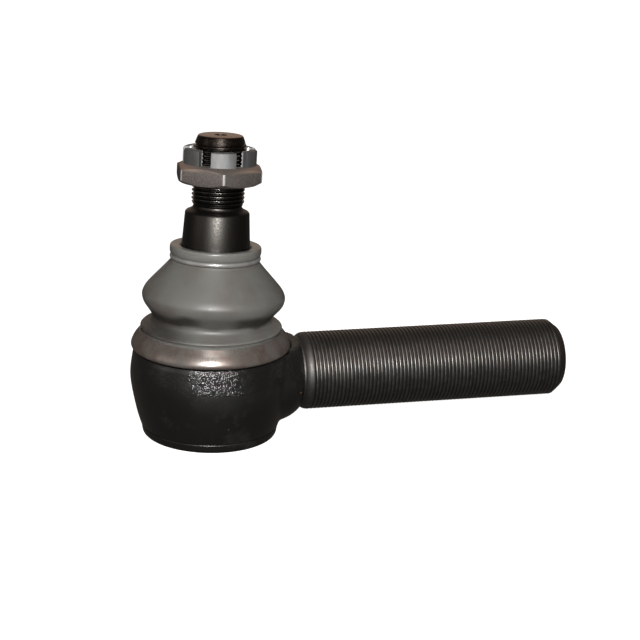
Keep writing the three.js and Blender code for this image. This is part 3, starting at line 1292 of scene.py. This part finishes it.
@dataclass(frozen=True)
class Boot:
    """Moulded boot with its base ring and the wire ring round its lip."""

    lip_top: float = 47.6
    lip_radius: float = 17.2
    lip_bore: float = 13.15
    groove_bottom: float = 42.0
    groove_top: float = 44.0
    groove_radius: float = 15.2
    groove_flank: float = 16.6
    foot_bottom: float = 34.2
    foot_top: float = 38.6
    foot_inner: float = 24.5
    foot_outer: float = 27.0
    wire_height: float = 43.0
    wire_radius: float = 16.2
    wire: float = 0.95
    ring_inner: float = 27.3
    ring_outer: float = 30.2
    ring_bend_radius: float = 1.2
    ring_fold: float = 38.9
    ring_top: float = 40.95
    ring_top_inner: float = 26.5
    lean_from: float = 38.3
    lean_to: float = 52.6
    blend_from: float = 42.5
    blend_to: float = 60.0

    def outside(self) -> list[Point]:
        """Outline from the foot up over the fold and the bulge to the lip.

        Returns:
            The outer side of the boot's wall.
        """
        bead = [
            (26.3, 40.2),
            (26.2, 41.3),
            (26.35, 41.9),
            (26.7, 42.15),
            (26.75, 42.5),
            (26.3, 42.95),
            (25.8, 43.2),
        ]
        fold = [(25.3, 43.4), (24.3, 43.95), (23.4, 44.4), (22.8, 44.85), (22.5, 45.5)]
        bulge = [
            (22.5, 20.9),
            (24.3, 23.1),
            (26.3, 25.6),
            (27.0, 28.0),
            (26.6, 29.8),
            (25.4, 31.8),
            (22.3, 35.3),
            (19.9, 37.9),
            (18.2, 39.8),
            (17.0, 41.2),
        ]
        lip = [
            (self.groove_flank, self.groove_bottom),
            (self.groove_radius, self.groove_bottom),
            (self.groove_radius, self.groove_top),
            (self.groove_flank, self.groove_top),
            *curve([(16.9, 44.3), (17.15, 45.0), (self.lip_radius, 46.0), (17.15, 46.9)], 8),
            *arc((self.lip_radius - 0.75, self.lip_top - 0.75), 0.7, 20, 90, 4),
            (self.lip_bore + 0.5, self.lip_top - 0.3),
            (self.lip_bore, self.lip_top - 1),
        ]
        upright = curve(bead, 18) + curve(fold, 18)
        return upright + raised(curve(bulge, 44) + lip, BALL_CENTRE.z)

    def inside(self) -> list[Point]:
        """Outline of the inner wall, from the lip back down to the foot.

        Returns:
            The inner side of the boot's wall.
        """
        upper = [
            (self.lip_bore, 40.6),
            (17, 37.9),
            (20.8, 33.8),
            (24, 30),
            (25.1, 27.6),
            (23, 24.6),
        ]
        lower = [(20.7, 46.6), (22.2, 43.2), (self.foot_inner, 39.4)]
        return curve(raised(upper, BALL_CENTRE.z) + lower, 36)

    def sleeve(self) -> bpy.types.Object:
        """The boot, its upper part leaning with the pin.

        Returns:
            The boot.
        """
        foot = [
            (self.foot_inner, self.foot_bottom),
            (self.foot_outer, self.foot_bottom),
            (self.foot_outer, self.foot_top),
        ]
        outline = foot + self.outside() + self.inside()
        piece = turned("boot_sleeve", outline, True, BOOT_SEGMENTS)
        centre = BALL_CENTRE * MM
        for vertex in piece.data.vertices:
            share = (vertex.co.z / MM - self.lean_from) / (self.lean_to - self.lean_from)
            share = min(max(share, 0.0), 1.0)
            turn = lean_matrix(share * share * (3 - 2 * share))
            vertex.co = centre + turn @ (vertex.co - centre)
        return piece

    def base_ring(self) -> bpy.types.Object:
        """Pressed ring with a rounded lower edge and a coned upper side.

        Returns:
            The ring.
        """
        low = self.foot_bottom
        bend = self.ring_bend_radius
        cone = [(30.1, low + 1.9), (29.6, 37.3), (28.75, 38.7), (27.75, 39.9), (27.0, 40.85)]
        outline = [
            (self.ring_inner, low),
            (self.ring_outer - bend, low),
            *arc((self.ring_outer - bend, low + bend), bend, -75, 12, 8),
            *curve(cone, 14),
            *arc((26.78, 40.8), 0.25, 10, 150, 5),
            (self.ring_top_inner, self.ring_top),
            (self.ring_inner, self.ring_fold),
        ]
        return turned("base_ring", outline, True, BOOT_SEGMENTS)

    def lip_ring(self) -> bpy.types.Object:
        """Wire ring in the lip's groove."""
        loop = arc((self.wire_radius, self.wire_height), self.wire, 0, 330, 11)
        return leaned(turned("lip_ring", loop, True))

    def build(self) -> None:
        """Builds and dresses the boot and its two rings."""
        sleeve = self.sleeve()
        smooth_shade(sleeve, 40)
        dress(sleeve, BootRubber().material(), "boot_rubber", None, "boot")
        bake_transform(sleeve)
        ring = self.base_ring()
        smooth_shade(ring, 40)
        dress(ring, PressedSteel().material(), "pressed_steel", Body.EYE, "boot_base_ring")
        wire = self.lip_ring()
        smooth_shade(wire, 60)
        finish = PressedSteel("ring_steel", grey(0.24), grey(0.17, 0.04), metal=0.5).material()
        dress(wire, finish, "ring_steel", Body.LIP, "boot_top_ring")


@dataclass(frozen=True)
class BallPin:
    """Ball, neck, taper and thread; distances count from the ball's centre."""

    ball: float = 16.5
    neck: float = 9.0
    neck_end: float = 19.0
    collar: float = 12.85
    collar_start: float = 37.0
    taper_start: float = 47.2
    taper_end: float = 60.0
    taper_per_side: float = 1 / 16
    undercut: float = 9.05
    thread_start: float = 62.6
    thread_radius: float = 9.9
    thread_depth: float = 0.85
    chamfer_start: float = 84.5
    top: float = 88.8
    top_radius: float = 8.1
    split_hole: float = 2.2
    split_hole_at: float = 81.1
    split_hole_deg: float = -6.7

    def stem(self) -> bpy.types.Object:
        """Everything below the thread.

        Returns:
            Ball, neck, taper and undercut, upright.
        """
        neck_angle = math.degrees(math.acos(self.neck / self.ball))
        small = self.collar - (self.taper_end - self.taper_start) * self.taper_per_side
        flare = [
            (self.neck, self.collar_start - 11),
            (self.neck + 0.6, self.collar_start - 7),
            (self.neck + 2.4, self.collar_start - 3),
            (self.collar, self.collar_start),
        ]
        outline = [
            (0, -self.ball),
            *arc((0, 0), self.ball, -88, neck_angle, 48),
            (self.neck, self.neck_end),
            *curve(flare, 16),
            (self.collar, self.taper_start),
            (small + 0.02, self.taper_end - 0.25),
            (small - 0.15, self.taper_end + 0.15),
            (small - 0.55, self.taper_end + 0.5),
            *curve([(10.4, 61.0), (9.6, 61.5), (9.2, 62.0), (self.undercut, 62.6)], 8),
            (self.undercut, self.thread_start + 0.7),
            (0, self.thread_start + 0.7),
        ]
        return turned("pin_stem", outline)

    def threaded_end(self) -> bpy.types.Object:
        """The thread with its chamfer and centre hole.

        Returns:
            The upper end of the pin, upright.
        """
        crest = self.thread_radius
        thread = Thread(crest, depth=self.thread_depth)
        piece = thread.rod("thread", self.thread_start, self.top + 1)
        limits = turned(
            "limits",
            [
                (0, self.thread_start - 2),
                (crest - 0.8, self.thread_start - 2),
                (crest - 0.8, self.thread_start),
                (crest + 0.02, self.thread_start + 1.6),
                (crest + 0.02, self.chamfer_start),
                (self.top_radius + 0.6, self.top - 1.0),
                (self.top_radius + 0.42, self.top - 0.5),
                (self.top_radius + 0.1, self.top - 0.15),
                (self.top_radius - 0.3, self.top),
                (2.5, self.top),
                (2.2, self.top - 0.4),
                (1.2, self.top - 3.2),
                (0, self.top - 4.0),
            ],
        )
        return shape_with(piece, limits, Cut.COMMON)

    def build(self) -> None:
        """Builds and dresses the pin."""
        piece = self.stem()
        piece.name = "ball_pin_steel"
        shape_with(piece, self.threaded_end(), Cut.JOIN)
        side = [(self.split_hole, -15), (self.split_hole, 15)]
        hole = turned("hole", [(0, -15), *side, (0, 15)], segments=32)
        across = Matrix.Rotation(math.radians(self.split_hole_deg), 4, "Z")
        across = across @ Matrix.Rotation(math.pi / 2, 4, "Y")
        settle(hole, Matrix.Translation((0, 0, self.split_hole_at * MM)) @ across)
        shape_with(piece, hole, Cut.AWAY)
        leaned(piece)
        smooth_shade(piece, 28)
        finish = TurnedSteel(self.top, self.thread_start, self.chamfer_start - 0.2)
        dress(piece, finish.material(), "pin_steel", Body.PIN, "ball_pin")


@dataclass(frozen=True)
class CastleNut:
    """Thin castle nut: a chamfered hexagon with a slotted crown."""

    bottom: float = 71.2
    hex_top: float = 78.2
    top: float = 84.0
    across_flats: float = 30.0
    crown: float = 13.75
    slot: float = 4.8
    slots: int = 6
    bore: float = 10.15
    tapped_radius: float = 10.85
    thread_depth: float = 0.75
    corner_deg: float = -96.7

    def hexagon(self) -> bpy.types.Object:
        """The six-sided blank, trimmed by its chamfers and crown.

        Returns:
            The blank, upright.
        """
        flat = self.across_flats / 2
        corner = flat / math.cos(math.pi / 6)
        bpy.ops.object.select_all(action="DESELECT")
        bpy.ops.mesh.primitive_cylinder_add(
            vertices=6,
            radius=corner * MM,
            depth=(self.top - self.bottom) * MM,
            location=(0, 0, (self.top + self.bottom) / 2 * MM),
        )
        piece = bpy.context.active_object
        piece.name = "castle_nut_steel"
        bpy.ops.object.transform_apply(location=True, rotation=True, scale=True)
        settle(piece, Matrix.Rotation(math.radians(self.corner_deg + 90), 4, "Z"))
        limits = turned(
            "limits",
            [
                (0, self.bottom),
                (flat - 0.4, self.bottom),
                (corner, self.bottom + 1.6),
                (corner, self.hex_top - 1.6),
                (self.crown + 0.5, self.hex_top - 0.1),
                (self.crown + 0.1, self.hex_top + 0.05),
                (self.crown, self.hex_top + 0.4),
                (self.crown, self.top - 0.7),
                (self.crown - 0.25, self.top - 0.2),
                (self.crown - 0.75, self.top),
                (0, self.top),
            ],
        )
        return shape_with(piece, limits, Cut.COMMON)

    def build(self) -> None:
        """Builds and dresses the nut."""
        piece = self.hexagon()
        for i in range(self.slots // 2):
            half = self.slot / 2
            bar = block("slot", (-20, -half, self.hex_top + 0.1), (20, half, self.top + 1))
            turn = math.radians(self.corner_deg + 30 + 360 / self.slots * i)
            settle(bar, Matrix.Rotation(turn, 4, "Z"))
            shape_with(piece, bar, Cut.AWAY)
        bore = turned(
            "bore",
            [
                (0, self.bottom - 1),
                (self.bore + 1.9, self.bottom - 1),
                (self.bore, self.bottom + 0.9),
                (self.bore, self.top - 0.9),
                (self.bore + 1.9, self.top + 1),
                (0, self.top + 1),
            ],
        )
        shape_with(piece, bore, Cut.AWAY)
        soften_edges(piece, 0.22, 35)
        thread = Thread(self.tapped_radius, depth=self.thread_depth)
        shape_with(piece, thread.rod("tap", self.bottom - 1, self.top + 1.1), Cut.AWAY)
        leaned(piece)
        smooth_shade(piece, 28)
        finish = NutSteel(crown_from=self.hex_top + 0.15)
        dress(piece, finish.material(), "nut_steel", Body.NUT, "castle_nut")


# ---------------------------------------------------------------- studio


@dataclass(frozen=True)
class Lamp:
    """A square soft light. Angles are in degrees, lengths in metres and its power in watts."""

    name: str
    azimuth: float
    elevation: float
    distance: float
    size: float
    power: float
    colour: Place

    def hang(self, aim: Vector) -> None:
        """Hangs the light at its angles from a point and turns it towards that point.

        Args:
            aim: The point, in metres.
        """
        a, e = math.radians(self.azimuth), math.radians(self.elevation)
        way = Vector((math.cos(a) * math.cos(e), math.sin(a) * math.cos(e), math.sin(e)))
        light = bpy.data.lights.new(self.name, "AREA")
        light.shape = "SQUARE"
        light.size = self.size
        light.energy = self.power
        light.color = self.colour
        holder = bpy.data.objects.new(self.name, light)
        bpy.context.scene.collection.objects.link(holder)
        holder.location = aim + way * self.distance
        holder.rotation_euler = (-way).to_track_quat("-Z", "Y").to_euler()


@dataclass(frozen=True)
class Studio:
    """Floor, lights, room and camera."""

    floor_side: float = 8.0
    floor_glow: float = 0.96
    room_colour: Colour = (0.20, 0.175, 0.155, 1)
    room_strength: float = 0.45
    aim: Vector = Vector((0.03, 0, 0.05))
    lamps: tuple[Lamp, ...] = (
        Lamp("key", -104, 22, 0.75, 0.13, 11.0, (1.0, 0.99, 0.97)),
        Lamp("front_fill", -118, 12, 1.4, 0.8, 2.4, (1.0, 0.98, 0.96)),
        Lamp("overhead", -98, 62, 0.9, 0.3, 1.7, (1.0, 0.96, 0.92)),
        Lamp("back_warm", 80, 22, 1.5, 1.2, 1.8, (1.0, 0.74, 0.56)),
        Lamp("left_rim", 190, 15, 1.3, 0.6, 1.2, (1.0, 0.9, 0.82)),
    )
    camera_at: Vector = Vector((-0.134511, -0.598366, 0.233339))
    right: Vector = Vector((0.97783231, -0.20902584, 0.01233576))
    above: Vector = Vector((0.050073, 0.29063439, 0.95552307))
    forward: Vector = Vector((0.20331421, 0.93372365, -0.29465825))
    sensor: float = 36.0
    lens: float = 95.625
    shift: float = 0.1875

    def floor(self) -> None:
        """Pale floor under the cover's boss."""
        bpy.ops.object.select_all(action="DESELECT")
        bpy.ops.mesh.primitive_plane_add(size=self.floor_side, location=(0, 0, 0))
        floor = bpy.context.active_object
        floor.name = "floor"
        floor.visible_glossy = False
        floor.visible_diffuse = False
        paint = Paint("pale_floor")
        material = paint.finish(
            Base_Color=paint.mix(paint.speckle(3, 1), grey(0.40), grey(0.42)),
            Roughness=0.9,
            Emission_Color=grey(1.0),
            Emission_Strength=self.floor_glow,
        )
        floor.data.materials.append(material)

    def room(self) -> None:
        """A dim warm room in reflections, and white where the camera looks past the floor."""
        world = bpy.data.worlds.new("room")
        bpy.context.scene.world = world
        world.use_nodes = True
        nodes, links = world.node_tree.nodes, world.node_tree.links
        shown = nodes["Background"]
        shown.inputs["Color"].default_value = grey(1.0)
        room = nodes.new("ShaderNodeBackground")
        room.inputs["Color"].default_value = self.room_colour
        room.inputs["Strength"].default_value = self.room_strength
        path = nodes.new("ShaderNodeLightPath")
        choice = nodes.new("ShaderNodeMixShader")
        links.new(path.outputs["Is Camera Ray"], choice.inputs[0])
        links.new(room.outputs[0], choice.inputs[1])
        links.new(shown.outputs[0], choice.inputs[2])
        links.new(choice.outputs[0], nodes["World Output"].inputs[0])

    def camera(self) -> None:
        """Adds the camera."""
        data = bpy.data.cameras.new("camera")
        data.sensor_width = self.sensor
        data.lens = self.lens
        data.shift_x = self.shift
        data.clip_start = 0.01
        holder = bpy.data.objects.new("camera", data)
        bpy.context.scene.collection.objects.link(holder)
        axes = Matrix((self.right, self.above, -self.forward)).transposed().to_4x4()
        holder.matrix_world = Matrix.Translation(self.camera_at) @ axes
        bpy.context.scene.camera = holder

    def build(self) -> None:
        """Sets up the studio."""
        self.floor()
        for lamp in self.lamps:
            lamp.hang(self.aim)
        self.room()
        self.camera()
        bpy.context.scene.view_settings.view_transform = "Standard"


def plain(box: object) -> list[list[float]]:
    """A box's two corners as plain lists of numbers."""
    return [[float(v) for v in corner] for corner in box]


def main() -> None:
    """Builds every piece and the studio."""
    logging.basicConfig(level=logging.INFO, format="%(name)s %(message)s")
    for part in (Housing(), Bearing(), Boot(), BallPin(), CastleNut()):
        part.build()
    Studio().build()


if __name__ == "__main__":
    main()
